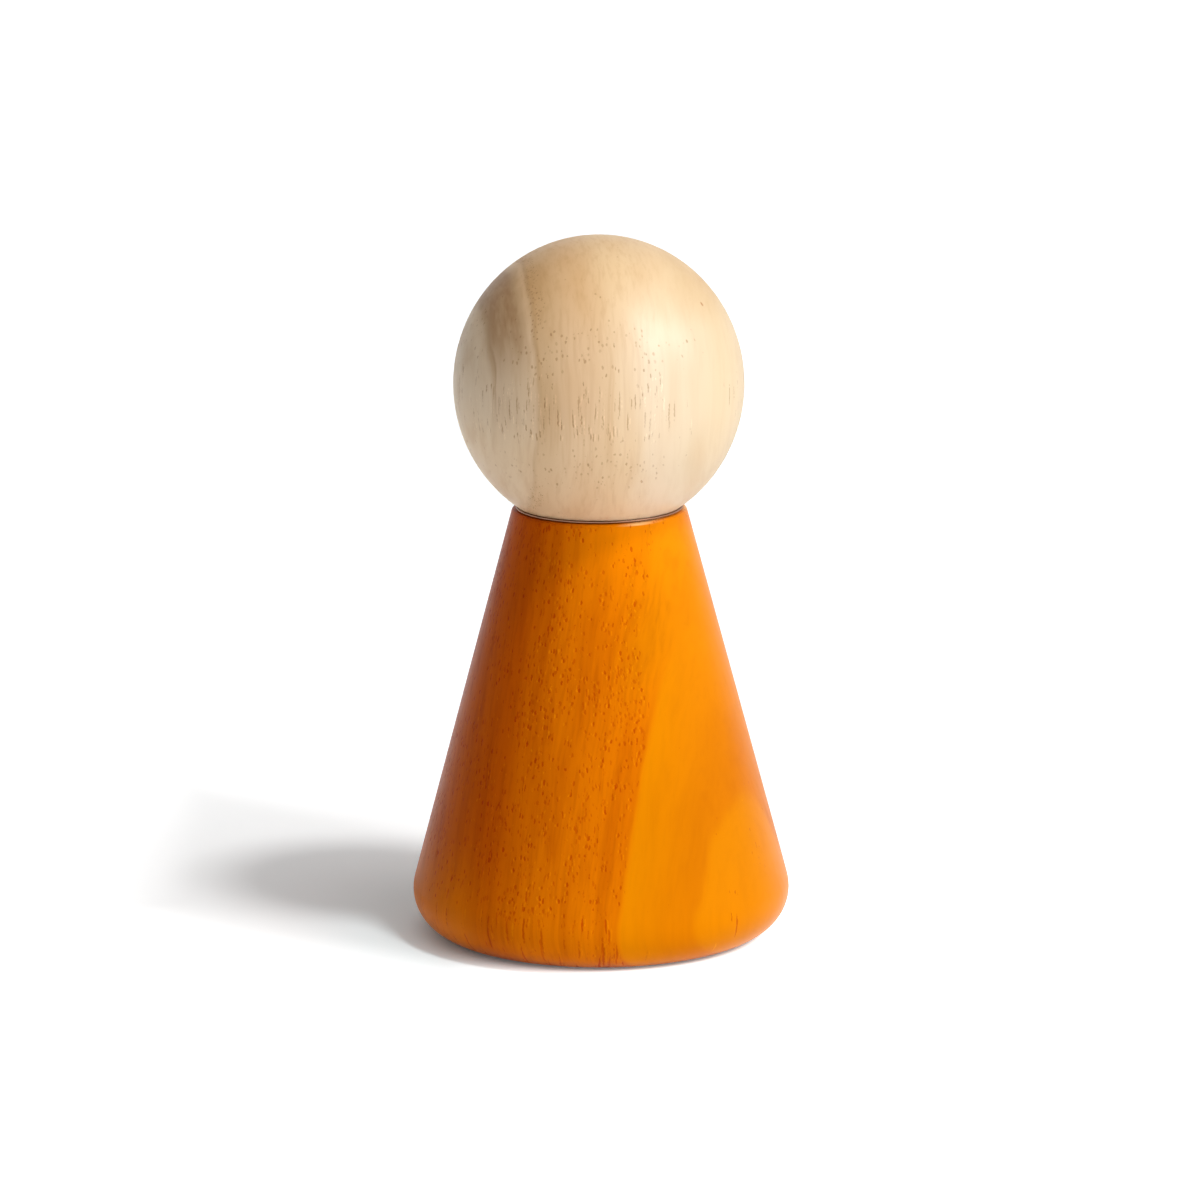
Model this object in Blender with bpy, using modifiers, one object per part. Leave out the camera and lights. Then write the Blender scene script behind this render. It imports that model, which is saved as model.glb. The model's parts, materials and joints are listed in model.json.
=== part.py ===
"""Pawn-shaped wooden pepper mill: the ball head turns a ceramic grinder in the conical body.

Lengths are in metres, +Z is up, and the origin is the centre of the foot, on the table.
Radii are worked out from the shaft outwards, and levels from the table upwards.
"""
import math

import bmesh
import bpy
from mathutils import Matrix, Vector

# Clearances
FIT_GAP = 0.0003            # between pieces that touch or are pressed together
SLIDE_GAP = 0.00025         # each side of a hexagon that slides
NECK_GAP = 0.0001           # above and below the neck washer
GRIP_GAP = 0.00015          # rubber ring to the mouth it drags in
CLIP_GAP = 0.0002           # round the clip in its groove
WELD = 0.00001              # merge distance for meshes

# Wooden body
BODY_HEIGHT = 0.0780
BASE_RADIUS = 0.03645       # where the straight side would meet the table
BASE_ROUND = 0.0077
FOOT_RIM = 0.0015           # least width of the ring that stands on the table
NECK_WALL = 0.0046
NECK_ROUND = 0.0006
NECK_BORE_LENGTH = 0.0105
SHOULDER_HEIGHT = 0.0035
MAGAZINE_LEDGE = 0.0030

# Neck washer
WASHER_THICKNESS = 0.0005
WASHER_INSET = 0.0006       # from the edge of the neck
WASHER_EASE = 0.0002        # round the neck bore

# Ball head and its socket
BALL_RADIUS = 0.0260
BALL_HALF_HEIGHT = 0.02663
FOOT_STEP = 0.00046         # from the edge of the neck in to the ball's flat
TENON_LENGTH = 0.0078
TENON_WALL = 0.0027
HEAD_BORE_DEPTH = 0.0258
DRILL_POINT = 0.0025
BORE_RELIEF = 0.0015
INSERT_WALL = 0.0024
INSERT_FLANGE = 0.0014
INSERT_LIP = 0.0005         # from the edge of the tenon in to the insert's flange
INSERT_CAP = 0.0020
BARB_HEIGHT = 0.0004
BARB_PITCH = 0.0060
BARB_COUNT = 4
MOUTH_DEPTH = 0.0108
SHAFT_RELIEF = 0.0010

# Drive shaft
SHAFT_FLATS = 0.0070        # across flats
SHAFT_CHAMFER = 0.0010
THREAD_RADIUS = 0.0025
CLIP_GROOVE_DEPTH = 0.0006
GRIP_GROOVE_DEPTH = 0.0005
GRIP_SECTION = 0.00075      # radius of the rubber ring's section
GRIP_LEVEL = 0.0048         # above the insert's lower face

# Grinder housing and its bearing
HOUSING_WALL = 0.0016
FLANGE_THICKNESS = 0.0015
FLANGE_EDGE = 0.0012
BURR_LEDGE = 0.0011
RIB_HEIGHT = 0.0005
RIB_WIDTH = 0.0016
RIB_COUNT = 6
KEY_HEIGHT = 0.0009
KEY_WIDTH = 0.0024
KEY_LEVEL = 0.0030          # above the housing's lower face
KEY_COUNT = 3
BRIDGE_WALL = 0.0017
BRIDGE_HEIGHT = 0.0050
ARM_WIDTH = 0.0030
ARM_INSET = 0.0005          # below the hub's faces
ARM_COUNT = 3
BUSH_WALL = 0.00065
BUSH_FLANGE = 0.0010
THRUST_WASHER = 0.0006
CLIP_THICKNESS = 0.0008
CLIP_WIDTH = 0.0030
CLIP_MOUTH = math.radians(80)

# Burrs, hub and spring
HUB_WALL = 0.00125
HUB_LIP = 0.0017
HUB_FLANGE = 0.0011
HUB_PROUD = 0.0003
INNER_BURR_HEIGHT = 0.0136
BURR_WALL = 0.0009
BURR_FLARE = 0.0038         # from the top of the inner burr to its base
BURR_DROP = 0.0008          # inner burr below outer burr
FEED_TOOTH = 0.0014         # depth of the teeth at the top
FINE_TOOTH = 0.0006         # depth of the teeth at the base
INNER_TEETH = 12
INNER_TWIST = math.radians(-50)
OUTER_BURR_HEIGHT = 0.0130
OUTER_BURR_WALL = 0.0020
OUTER_TEETH = 18
OUTER_TWIST = math.radians(14)
GRIND_GAP = 0.00035         # inner burr's base to the outer teeth
FEED_GAP = 0.0024           # inner burr's top to the outer teeth
TOOTH_LEVELS = 6
SPRING_LENGTH = 0.0090
SPRING_WIRE = 0.0004        # radius of the wire
SPRING_TURNS = 5
SPRING_TURN_POINTS = 10
SPRING_WASHER = 0.0008

# Adjuster under the base
FLOOR_GAP = 0.0014
ADJUST_TRAVEL = 0.00075     # each way, 1 mm of pitch over three quarters of a turn
END_HEAD_RADIUS = 0.0034
END_HEAD_HEIGHT = 0.0013
END_SHANK_RADIUS = 0.0010
END_SHANK_LENGTH = 0.0050
NUT_SEAT = 0.0003           # nut's flats beyond the wheel's mouth
NUT_HEIGHT = 0.0039
WHEEL_LEDGE = 0.0009
WHEEL_WALL = 0.0040
SCALLOP_DEPTH = 0.0008
SCALLOP_COUNT = 10
SCALLOP_POINTS = 8

# Cover ring and wood screws
COVER_THICKNESS = 0.0015
COVER_EASE = 0.0003         # beyond the outer burr's teeth
SCREW_COUNT = 3
SCREW_SHANK = 0.0012
SCREW_HEAD_RADIUS = 0.0023
SCREW_HEAD_HEIGHT = 0.0012
SCREW_LENGTH = 0.0150
SCREW_POINT = 0.0025
SCREW_WALL = 0.0009         # wood between the grinder bore and a pilot hole
RECESS_ARM = 0.0012         # cross recess, from its centre
RECESS_WIDTH = 0.0007       # at its centre
RECESS_TIP = 0.0004         # width at the ends of its arms
RECESS_DEPTH = 0.0007

# Fineness of the round faces
WOOD_STEPS = 60
RING_STEPS = 40
SMALL_STEPS = 24
PIN_STEPS = 16
BALL_ARC_STEPS = 14
ROUND_STEPS = 7
SHARP_ANGLE = math.radians(35)

# Radii from the shaft outwards
HEX_FLAT = math.cos(math.pi / 6)
shaft_corner = SHAFT_FLATS / 2 / HEX_FLAT
shaft_clear = shaft_corner + FIT_GAP
bush_radius = shaft_clear + BUSH_WALL
bridge_bore = bush_radius + FIT_GAP
bridge_radius = bridge_bore + BRIDGE_WALL
socket_flats = SHAFT_FLATS + 2 * SLIDE_GAP
hub_flats = socket_flats + 2 * HUB_WALL
hub_lip_radius = hub_flats / 2 / HEX_FLAT + HUB_LIP
burr_bore_flats = hub_flats + 2 * FIT_GAP
inner_top_radius = burr_bore_flats / 2 / HEX_FLAT + BURR_WALL + FEED_TOOTH
inner_base_radius = inner_top_radius + BURR_FLARE
outer_top_radius = inner_top_radius + FEED_GAP
outer_base_radius = inner_base_radius + GRIND_GAP
outer_burr_radius = outer_base_radius + FINE_TOOTH + OUTER_BURR_WALL
cover_bore = outer_base_radius + FINE_TOOTH + COVER_EASE
housing_bore = outer_burr_radius + FIT_GAP
throat_radius = outer_burr_radius - BURR_LEDGE
barrel_radius = housing_bore + HOUSING_WALL
grinder_bore = barrel_radius + RIB_HEIGHT + FIT_GAP
magazine_radius = grinder_bore - MAGAZINE_LEDGE
screw_hole = SCREW_SHANK + FIT_GAP
screw_pitch = grinder_bore + SCREW_WALL + screw_hole
flange_radius = screw_pitch + screw_hole + FLANGE_EDGE
recess_radius = flange_radius + FIT_GAP
spring_radius = shaft_clear + SPRING_WIRE
clip_groove = SHAFT_FLATS / 2 - CLIP_GROOVE_DEPTH
grip_groove = SHAFT_FLATS / 2 - GRIP_GROOVE_DEPTH
grip_radius = grip_groove + SLIDE_GAP + GRIP_SECTION
mouth_radius = grip_radius + GRIP_SECTION + GRIP_GAP
insert_radius = mouth_radius + INSERT_WALL
head_bore = insert_radius + BARB_HEIGHT + FIT_GAP
tenon_radius = head_bore + TENON_WALL
neck_bore = tenon_radius + FIT_GAP
neck_radius = neck_bore + NECK_WALL
foot_radius = neck_radius - FOOT_STEP
wheel_mouth = END_HEAD_RADIUS + FIT_GAP
nut_flats = 2 * (wheel_mouth + NUT_SEAT)
pocket_flats = nut_flats + 2 * FIT_GAP
wheel_radius = pocket_flats / 2 / HEX_FLAT + WHEEL_WALL

# Levels from the table upwards
shaft_end = FLOOR_GAP + END_HEAD_HEIGHT + FIT_GAP
nut_bottom = shaft_end + WHEEL_LEDGE + FIT_GAP
nut_top = nut_bottom + NUT_HEIGHT
wheel_top = nut_top + FIT_GAP
hub_bottom = wheel_top + FIT_GAP
hexagon_start = nut_top + ADJUST_TRAVEL + FIT_GAP
inner_burr_bottom = hub_bottom + HUB_FLANGE + FIT_GAP
hub_top = inner_burr_bottom + INNER_BURR_HEIGHT + HUB_PROUD
housing_bottom = inner_burr_bottom + BURR_DROP
cover_bottom = housing_bottom - FIT_GAP - COVER_THICKNESS
recess_top = housing_bottom + FLANGE_THICKNESS + FIT_GAP
ledge_level = housing_bottom + OUTER_BURR_HEIGHT + FIT_GAP
spring_bottom = hub_top + FIT_GAP
spring_washer_bottom = spring_bottom + SPRING_LENGTH + FIT_GAP
bridge_bottom = spring_washer_bottom + SPRING_WASHER + FIT_GAP
housing_top = bridge_bottom + BRIDGE_HEIGHT
magazine_bottom = housing_top + FIT_GAP
thrust_bottom = magazine_bottom + BUSH_FLANGE + FIT_GAP
clip_bottom = thrust_bottom + THRUST_WASHER + FIT_GAP
clip_top = clip_bottom + CLIP_THICKNESS
shoulder_top = BODY_HEIGHT - NECK_BORE_LENGTH
washer_bottom = BODY_HEIGHT + NECK_GAP
head_level = washer_bottom + WASHER_THICKNESS + NECK_GAP
insert_bottom = head_level - TENON_LENGTH - FIT_GAP - INSERT_FLANGE
insert_top = head_level + HEAD_BORE_DEPTH - BORE_RELIEF
socket_top = insert_top - INSERT_CAP
shaft_top = socket_top - SHAFT_RELIEF
mouth_top = insert_bottom + MOUTH_DEPTH
grip_ring_level = insert_bottom + GRIP_LEVEL


# Scene and modelling helpers

def clear_scene():
    for obj in list(bpy.data.objects):
        bpy.data.objects.remove(obj, do_unlink=True)


def new_collection(name):
    collection = bpy.data.collections.new(name)
    bpy.context.scene.collection.children.link(collection)
    return collection


def add_object(name, data, level=0.0):
    obj = bpy.data.objects.new(name, data)
    obj.location.z = level
    PARTS.objects.link(obj)
    return obj


def shade(mesh):
    mesh.shade_smooth()
    mesh.set_sharp_from_angle(angle=SHARP_ANGLE)


def to_mesh(obj):
    """Replace a curve or a modified object by its evaluated, welded mesh."""
    depsgraph = bpy.context.evaluated_depsgraph_get()
    mesh = bpy.data.meshes.new_from_object(obj.evaluated_get(depsgraph))
    name = obj.name
    matrix = obj.matrix_world.copy()
    bpy.data.objects.remove(obj)
    bm = bmesh.new()
    bm.from_mesh(mesh)
    bmesh.ops.remove_doubles(bm, verts=bm.verts, dist=WELD)
    bm.to_mesh(mesh)
    bm.free()
    shade(mesh)
    solid = add_object(name, mesh)
    solid.matrix_world = matrix
    return solid


def turned(name, profile, steps, level=0.0, ring=False):
    """Spin a half-section of (radius, height) points, listed down the outer side, about Z."""
    edges = [(i, i + 1) for i in range(len(profile) - 1)]
    if ring:
        edges.append((len(profile) - 1, 0))
    mesh = bpy.data.meshes.new(name)
    mesh.from_pydata([(radius, 0.0, height) for radius, height in profile], edges, [])
    obj = add_object(name, mesh, level)
    screw = obj.modifiers.new("turn", "SCREW")
    screw.axis = "Z"
    screw.angle = math.tau
    screw.steps = steps
    screw.render_steps = steps
    screw.use_merge_vertices = True
    screw.merge_threshold = WELD
    bpy.context.view_layer.update()
    return to_mesh(obj)


def flat_ring(name, inner, outer, thickness, steps, level):
    corners = [(inner, thickness), (outer, thickness), (outer, 0.0), (inner, 0.0)]
    return turned(name, corners, steps, level, ring=True)


def rod(name, radius, length, steps, level):
    return turned(name, [(0.0, length), (radius, length), (radius, 0.0), (0.0, 0.0)], steps, level)


def plate(name, outlines, bottom, thickness):
    """A flat piece from closed outlines of (x, y) points; an outline inside another is a hole."""
    curve = bpy.data.curves.new(name, "CURVE")
    curve.dimensions = "2D"
    curve.fill_mode = "BOTH"
    curve.extrude = thickness / 2
    for outline in outlines:
        spline = curve.splines.new("POLY")
        spline.points.add(len(outline) - 1)
        for point, (x, y) in zip(spline.points, outline):
            point.co = (x, y, 0.0, 1.0)
        spline.use_cyclic_u = True
    obj = add_object(name, curve, bottom + thickness / 2)
    bpy.context.view_layer.update()
    return to_mesh(obj)


def box(name, low, high):
    """An upright box between two corners."""
    (x0, y0, z0), (x1, y1, z1) = low, high
    return plate(name, [[(x0, y0), (x1, y0), (x1, y1), (x0, y1)]], z0, z1 - z0)


def loft(name, sections, level):
    """Skin a closed solid through sections of equal point counts, listed upwards."""
    bm = bmesh.new()
    rings = [[bm.verts.new(point) for point in section] for section in sections]
    for lower, upper in zip(rings, rings[1:]):
        for i in range(len(lower)):
            j = (i + 1) % len(lower)
            bm.faces.new((lower[i], lower[j], upper[j], upper[i]))
    bm.faces.new(list(reversed(rings[0])))
    bm.faces.new(rings[-1])
    bmesh.ops.triangulate(bm, faces=bm.faces)
    mesh = bpy.data.meshes.new(name)
    bm.to_mesh(mesh)
    bm.free()
    return add_object(name, mesh, level)


def around(obj, count, radius=0.0, first=0.0):
    """Repeat a tool round the axis, at a radius along its own X, as one object."""
    bm = bmesh.new()
    for i in range(count):
        turn = Matrix.Rotation(first + i * math.tau / count, 4, "Z")
        copy = obj.data.copy()
        copy.transform(turn @ Matrix.Translation((radius, 0.0, 0.0)))
        bm.from_mesh(copy)
        bpy.data.meshes.remove(copy)
    bm.to_mesh(obj.data)
    bm.free()
    return obj


def boolean(obj, operation, tool):
    """Join, cut or trim a piece with a tool, which is kept hidden in its own collection."""
    if tool.name not in TOOLS.objects:
        PARTS.objects.unlink(tool)
        TOOLS.objects.link(tool)
        tool.hide_render = True
        tool.display_type = "WIRE"
    modifier = obj.modifiers.new(tool.name, "BOOLEAN")
    modifier.operation = operation
    modifier.solver = "EXACT"
    modifier.object = tool


def material(name, colour, roughness, metallic=0.0):
    finish = bpy.data.materials.new(name)
    finish.use_nodes = True
    shader = finish.node_tree.nodes["Principled BSDF"]
    shader.inputs["Base Color"].default_value = (*colour, 1.0)
    shader.inputs["Roughness"].default_value = roughness
    shader.inputs["Metallic"].default_value = metallic
    return finish


# Outline helpers

def hexagon(flats):
    corner = flats / 2 / HEX_FLAT
    return [(corner * math.cos(k * math.pi / 3), corner * math.sin(k * math.pi / 3)) for k in range(6)]


def arc(radius, start, end, steps):
    angles = [start + (end - start) * k / steps for k in range(steps + 1)]
    return [(radius * math.cos(angle), radius * math.sin(angle)) for angle in angles]


def circle(radius, steps):
    return arc(radius, 0.0, math.tau, steps)[:-1]


def rounded(before, corner, after, radius, steps):
    """Points of the arc that rounds the corner between two straight runs of a profile."""
    tip = Vector(corner)
    back = (Vector(before) - tip).normalized()
    ahead = (Vector(after) - tip).normalized()
    half = back.angle(ahead) / 2
    centre = tip + (back + ahead).normalized() * radius / math.sin(half)
    start = tip + back * radius / math.tan(half) - centre
    end = tip + ahead * radius / math.tan(half) - centre
    sweep = math.pi - 2 * half
    points = []
    for k in range(steps + 1):
        share = k / steps
        spoke = start * math.sin((1 - share) * sweep) + end * math.sin(share * sweep)
        points.append(tuple(centre + spoke / math.sin(sweep)))
    return points


def toothed_section(count, root, tip, turn, level):
    """A ring of saw teeth: a long ramp from root to tip, a short land and a steep face."""
    ramp, land, face = 0.50, 0.20, 0.10
    shape = ((0.0, root), (ramp, tip), (ramp + land, tip), (ramp + land + face, root))
    points = []
    for i in range(count):
        for share, radius in shape:
            angle = turn + (i + share) * math.tau / count
            points.append((radius * math.cos(angle), radius * math.sin(angle), level))
    return points


# Wooden body and neck

def body_cone():
    slope = (BASE_RADIUS - neck_radius) / BODY_HEIGHT
    side_angle = math.pi / 2 - math.atan(slope)
    rim = BASE_RADIUS - recess_radius - FOOT_RIM
    base_round = min(BASE_ROUND, rim * math.tan(side_angle / 2))
    neck_edge = (neck_radius, BODY_HEIGHT)
    base_edge = (BASE_RADIUS, 0.0)
    profile = rounded((neck_bore, BODY_HEIGHT), neck_edge, base_edge, NECK_ROUND, 3)
    profile += rounded(neck_edge, base_edge, (0.0, 0.0), base_round, ROUND_STEPS)
    profile += [
        (recess_radius, 0.0),
        (recess_radius, recess_top),
        (grinder_bore, recess_top),
        (grinder_bore, magazine_bottom),
        (magazine_radius, magazine_bottom),
        (magazine_radius, shoulder_top - SHOULDER_HEIGHT),
        (neck_bore, shoulder_top),
        (neck_bore, BODY_HEIGHT),
    ]
    body = turned("body_cone", profile, WOOD_STEPS, ring=True)
    pilot_depth = cover_bottom + SCREW_LENGTH + FIT_GAP - recess_top
    pilots = rod("pilot_holes", screw_hole, pilot_depth + FIT_GAP, PIN_STEPS, recess_top - FIT_GAP)
    boolean(body, "DIFFERENCE", around(pilots, SCREW_COUNT, screw_pitch))
    return body


def neck_washer():
    inner = neck_bore + WASHER_EASE
    outer = neck_radius - WASHER_INSET
    return flat_ring("neck_washer", inner, outer, WASHER_THICKNESS, WOOD_STEPS, washer_bottom)


# Head

def head_ball():
    """Spheroid on a flat foot, with a tenon below and a drilled bore for the insert."""
    foot_angle = -math.acos(foot_radius / BALL_RADIUS)
    centre = -BALL_HALF_HEIGHT * math.sin(foot_angle)
    profile = []
    for k in range(BALL_ARC_STEPS + 1):
        angle = math.pi / 2 + (foot_angle - math.pi / 2) * k / BALL_ARC_STEPS
        radius = BALL_RADIUS * math.cos(angle) if k else 0.0
        profile.append((radius, centre + BALL_HALF_HEIGHT * math.sin(angle)))
    profile += [
        (tenon_radius, 0.0),
        (tenon_radius, -TENON_LENGTH),
        (head_bore, -TENON_LENGTH),
        (head_bore, HEAD_BORE_DEPTH),
        (0.0, HEAD_BORE_DEPTH + DRILL_POINT),
    ]
    return turned("head_ball", profile, WOOD_STEPS, head_level)


def head_insert():
    """Barbed plug with a round mouth for the rubber ring and a hexagonal socket above it."""
    height = insert_top - insert_bottom
    flange_top = INSERT_FLANGE
    profile = [(0.0, height), (insert_radius, height)]
    for k in range(BARB_COUNT):
        level = height - (k + 1) * BARB_PITCH
        profile += [
            (insert_radius, level + 2 * BARB_HEIGHT),
            (insert_radius + BARB_HEIGHT, level),
            (insert_radius, level),
        ]
    profile += [
        (insert_radius, flange_top),
        (tenon_radius - INSERT_LIP, flange_top),
        (tenon_radius - INSERT_LIP, 0.0),
        (mouth_radius, 0.0),
        (mouth_radius, MOUTH_DEPTH),
        (0.0, MOUTH_DEPTH),
    ]
    insert = turned("head_insert", profile, SMALL_STEPS, insert_bottom)
    start = mouth_top - FIT_GAP
    boolean(insert, "DIFFERENCE", plate("socket", [hexagon(socket_flats)], start, socket_top - start))
    return insert


# Drive shaft and what sits on it

def drive_shaft():
    """Hexagonal bar trimmed in the lathe: chamfered tip, two grooves, threaded end, screw hole."""
    length = shaft_top - shaft_end
    stock = shaft_corner + FIT_GAP
    grip_half = GRIP_SECTION + SLIDE_GAP
    clip_low = clip_bottom - CLIP_GAP - shaft_end
    clip_high = clip_top + CLIP_GAP - shaft_end
    grip_level = grip_ring_level - shaft_end
    hole_radius = END_SHANK_RADIUS + FIT_GAP
    hole_depth = END_SHANK_LENGTH + FIT_GAP
    lathe_profile = [
        (0.0, length),
        (shaft_corner - SHAFT_CHAMFER, length),
        (stock, length - SHAFT_CHAMFER - FIT_GAP),
        (stock, grip_level + grip_half),
        (grip_groove, grip_level + grip_half),
        (grip_groove, grip_level - grip_half),
        (stock, grip_level - grip_half),
        (stock, clip_high),
        (clip_groove, clip_high),
        (clip_groove, clip_low),
        (stock, clip_low),
        (stock, hexagon_start - shaft_end),
        (THREAD_RADIUS, hexagon_start - shaft_end),
        (THREAD_RADIUS, 0.0),
        (hole_radius, 0.0),
        (hole_radius, hole_depth),
        (0.0, hole_depth),
    ]
    bar = plate("drive_shaft", [hexagon(SHAFT_FLATS)], shaft_end - FIT_GAP, length + 2 * FIT_GAP)
    boolean(bar, "INTERSECT", turned("lathe_envelope", lathe_profile, SMALL_STEPS, shaft_end))
    return bar


def shaft_grip_ring():
    bpy.ops.mesh.primitive_torus_add(
        major_radius=grip_radius, minor_radius=GRIP_SECTION,
        major_segments=SMALL_STEPS, minor_segments=8, location=(0.0, 0.0, grip_ring_level))
    ring = bpy.context.object
    ring.name = "shaft_grip_ring"
    for collection in list(ring.users_collection):
        collection.objects.unlink(ring)
    PARTS.objects.link(ring)
    shade(ring.data)
    return ring


def thrust_washer():
    return flat_ring("thrust_washer", shaft_clear, bridge_radius, THRUST_WASHER, SMALL_STEPS, thrust_bottom)


def retaining_clip():
    """C-shaped clip, open on one side so that it snaps into the shaft's groove."""
    inner = clip_groove + CLIP_GAP
    start = CLIP_MOUTH / 2
    end = math.tau - CLIP_MOUTH / 2
    outline = arc(inner + CLIP_WIDTH, start, end, SMALL_STEPS) + arc(inner, end, start, SMALL_STEPS)
    return plate("retaining_clip", [outline], clip_bottom, CLIP_THICKNESS)


def end_screw():
    """Pan head under the shaft's end, shank up its hole."""
    shank_top = END_HEAD_HEIGHT + FIT_GAP + END_SHANK_LENGTH
    profile = [
        (0.0, shank_top),
        (END_SHANK_RADIUS, shank_top),
        (END_SHANK_RADIUS, END_HEAD_HEIGHT),
        (END_HEAD_RADIUS, END_HEAD_HEIGHT),
        (END_HEAD_RADIUS, END_HEAD_HEIGHT / 2),
        (END_HEAD_RADIUS * 0.75, 0.0),
        (0.0, 0.0),
    ]
    screw = turned("end_screw", profile, PIN_STEPS, FLOOR_GAP)
    boolean(screw, "DIFFERENCE", cross("end_recess", FLOOR_GAP))
    return screw


def cross(name, face_level):
    """Tool for a cross recess, with arms that taper outwards, in a screw's lower face."""
    outline = []
    for k in range(4):
        turn = Matrix.Rotation(k * math.pi / 2, 2)
        corners = (
            (RECESS_WIDTH / 2, -RECESS_WIDTH / 2), (RECESS_ARM, -RECESS_TIP / 2), (RECESS_ARM, RECESS_TIP / 2))
        outline += [tuple(turn @ Vector(corner)) for corner in corners]
    return plate(name, [outline], face_level - FIT_GAP, RECESS_DEPTH + FIT_GAP)


# Grinder housing

def grinder_housing():
    """Flanged barrel with outside ribs, keys for the outer burr and a bridge that carries the shaft."""
    height = housing_top - housing_bottom
    ledge = ledge_level - housing_bottom
    profile = [
        (barrel_radius, height),
        (barrel_radius, FLANGE_THICKNESS),
        (flange_radius, FLANGE_THICKNESS),
        (flange_radius, 0.0),
        (housing_bore, 0.0),
        (housing_bore, ledge),
        (throat_radius, ledge),
        (throat_radius, height),
    ]
    housing = turned("grinder_housing", profile, RING_STEPS, housing_bottom, ring=True)

    sink = HOUSING_WALL / 2
    ribs = box(
        "barrel_ribs",
        (barrel_radius - sink, -RIB_WIDTH / 2, housing_bottom + FLANGE_THICKNESS / 2),
        (barrel_radius + RIB_HEIGHT, RIB_WIDTH / 2, housing_top - HOUSING_WALL))
    boolean(housing, "UNION", around(ribs, RIB_COUNT))

    keys = box(
        "burr_keys",
        (housing_bore - KEY_HEIGHT, -KEY_WIDTH / 2, housing_bottom + KEY_LEVEL),
        (housing_bore + sink, KEY_WIDTH / 2, ledge_level + sink))
    boolean(housing, "UNION", around(keys, KEY_COUNT))

    hub = flat_ring("bridge_hub", bridge_bore, bridge_radius, BRIDGE_HEIGHT, SMALL_STEPS, bridge_bottom)
    arms = box(
        "bridge_arms",
        (bridge_radius - BRIDGE_WALL / 2, -ARM_WIDTH / 2, bridge_bottom + ARM_INSET),
        (throat_radius + sink, ARM_WIDTH / 2, housing_top - ARM_INSET))
    boolean(housing, "UNION", around(arms, ARM_COUNT, first=math.pi / ARM_COUNT))
    boolean(housing, "UNION", hub)

    holes = rod("flange_holes", screw_hole, FLANGE_THICKNESS + 2 * FIT_GAP, PIN_STEPS, housing_bottom - FIT_GAP)
    boolean(housing, "DIFFERENCE", around(holes, SCREW_COUNT, screw_pitch))
    return housing


def shaft_bush():
    """Flanged plain bearing in the bridge."""
    length = BRIDGE_HEIGHT + FIT_GAP
    profile = [
        (shaft_clear, BUSH_FLANGE),
        (bridge_radius, BUSH_FLANGE),
        (bridge_radius, 0.0),
        (bush_radius, 0.0),
        (bush_radius, -length),
        (shaft_clear, -length),
    ]
    return turned("shaft_bush", profile, SMALL_STEPS, magazine_bottom, ring=True)


def spring_washer():
    return flat_ring(
        "spring_washer", shaft_clear, bridge_radius, SPRING_WASHER, SMALL_STEPS, spring_washer_bottom)


def burr_spring():
    """One unbroken coil of round wire between the hub and the spring washer."""
    count = SPRING_TURNS * SPRING_TURN_POINTS
    rise = SPRING_LENGTH - 2 * SPRING_WIRE
    points = []
    for k in range(count + 1):
        angle = k * math.tau / SPRING_TURN_POINTS
        points.append((
            spring_radius * math.cos(angle),
            spring_radius * math.sin(angle),
            SPRING_WIRE + rise * k / count))
    gap = min(
        math.dist(points[i], points[j]) - 2 * SPRING_WIRE
        for i in range(len(points))
        for j in range(i + SPRING_TURN_POINTS // 2, len(points)))
    print(f"burr_spring: least gap between turns {gap * 1000:.2f} mm")

    curve = bpy.data.curves.new("burr_spring", "CURVE")
    curve.dimensions = "3D"
    curve.bevel_depth = SPRING_WIRE
    curve.bevel_resolution = 1
    curve.use_fill_caps = True
    spline = curve.splines.new("POLY")
    spline.points.add(count)
    for point, (x, y, z) in zip(spline.points, points):
        point.co = (x, y, z, 1.0)
    obj = add_object("burr_spring", curve, spring_bottom)
    bpy.context.view_layer.update()
    return to_mesh(obj)


# Burrs

def tooth_depth(share):
    """Teeth get deeper from the base, at share 0, to the feed end, at share 1."""
    return FINE_TOOTH + (FEED_TOOTH - FINE_TOOTH) * max(share, 0.0) ** 1.5


def inner_burr():
    """Cone with spiral saw teeth, fine at the base and deep at the top, on a hexagonal bore."""
    sections = []
    for k in range(TOOTH_LEVELS + 1):
        share = k / TOOTH_LEVELS
        tip = inner_base_radius - BURR_FLARE * share
        root = tip - tooth_depth(share)
        level = INNER_BURR_HEIGHT * share
        sections.append(toothed_section(INNER_TEETH, root, tip, INNER_TWIST * share, level))
    burr = loft("inner_burr", sections, inner_burr_bottom)
    length = INNER_BURR_HEIGHT + 2 * FIT_GAP
    bore = plate("burr_bore", [hexagon(burr_bore_flats)], inner_burr_bottom - FIT_GAP, length)
    boolean(burr, "DIFFERENCE", bore)
    return burr


def outer_burr():
    """Fixed ring with teeth inside, keyed to the housing by three notches."""
    burr = rod("outer_burr", outer_burr_radius, OUTER_BURR_HEIGHT, RING_STEPS, housing_bottom)
    overrun = FIT_GAP / OUTER_BURR_HEIGHT
    sections = []
    for k in range(TOOTH_LEVELS + 1):
        share = -overrun + (1.0 + 2.0 * overrun) * k / TOOTH_LEVELS
        tip = outer_base_radius + (outer_top_radius - outer_base_radius) * share
        root = tip + tooth_depth(share)
        level = OUTER_BURR_HEIGHT * share
        sections.append(toothed_section(OUTER_TEETH, root, tip, OUTER_TWIST * share, level))
    boolean(burr, "DIFFERENCE", loft("tooth_tool", sections, housing_bottom))
    notches = box(
        "key_notches",
        (housing_bore - KEY_HEIGHT - FIT_GAP, -KEY_WIDTH / 2 - FIT_GAP, housing_bottom + KEY_LEVEL - FIT_GAP),
        (housing_bore + HOUSING_WALL, KEY_WIDTH / 2 + FIT_GAP, ledge_level + FIT_GAP))
    boolean(burr, "DIFFERENCE", around(notches, KEY_COUNT))
    return burr


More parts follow.
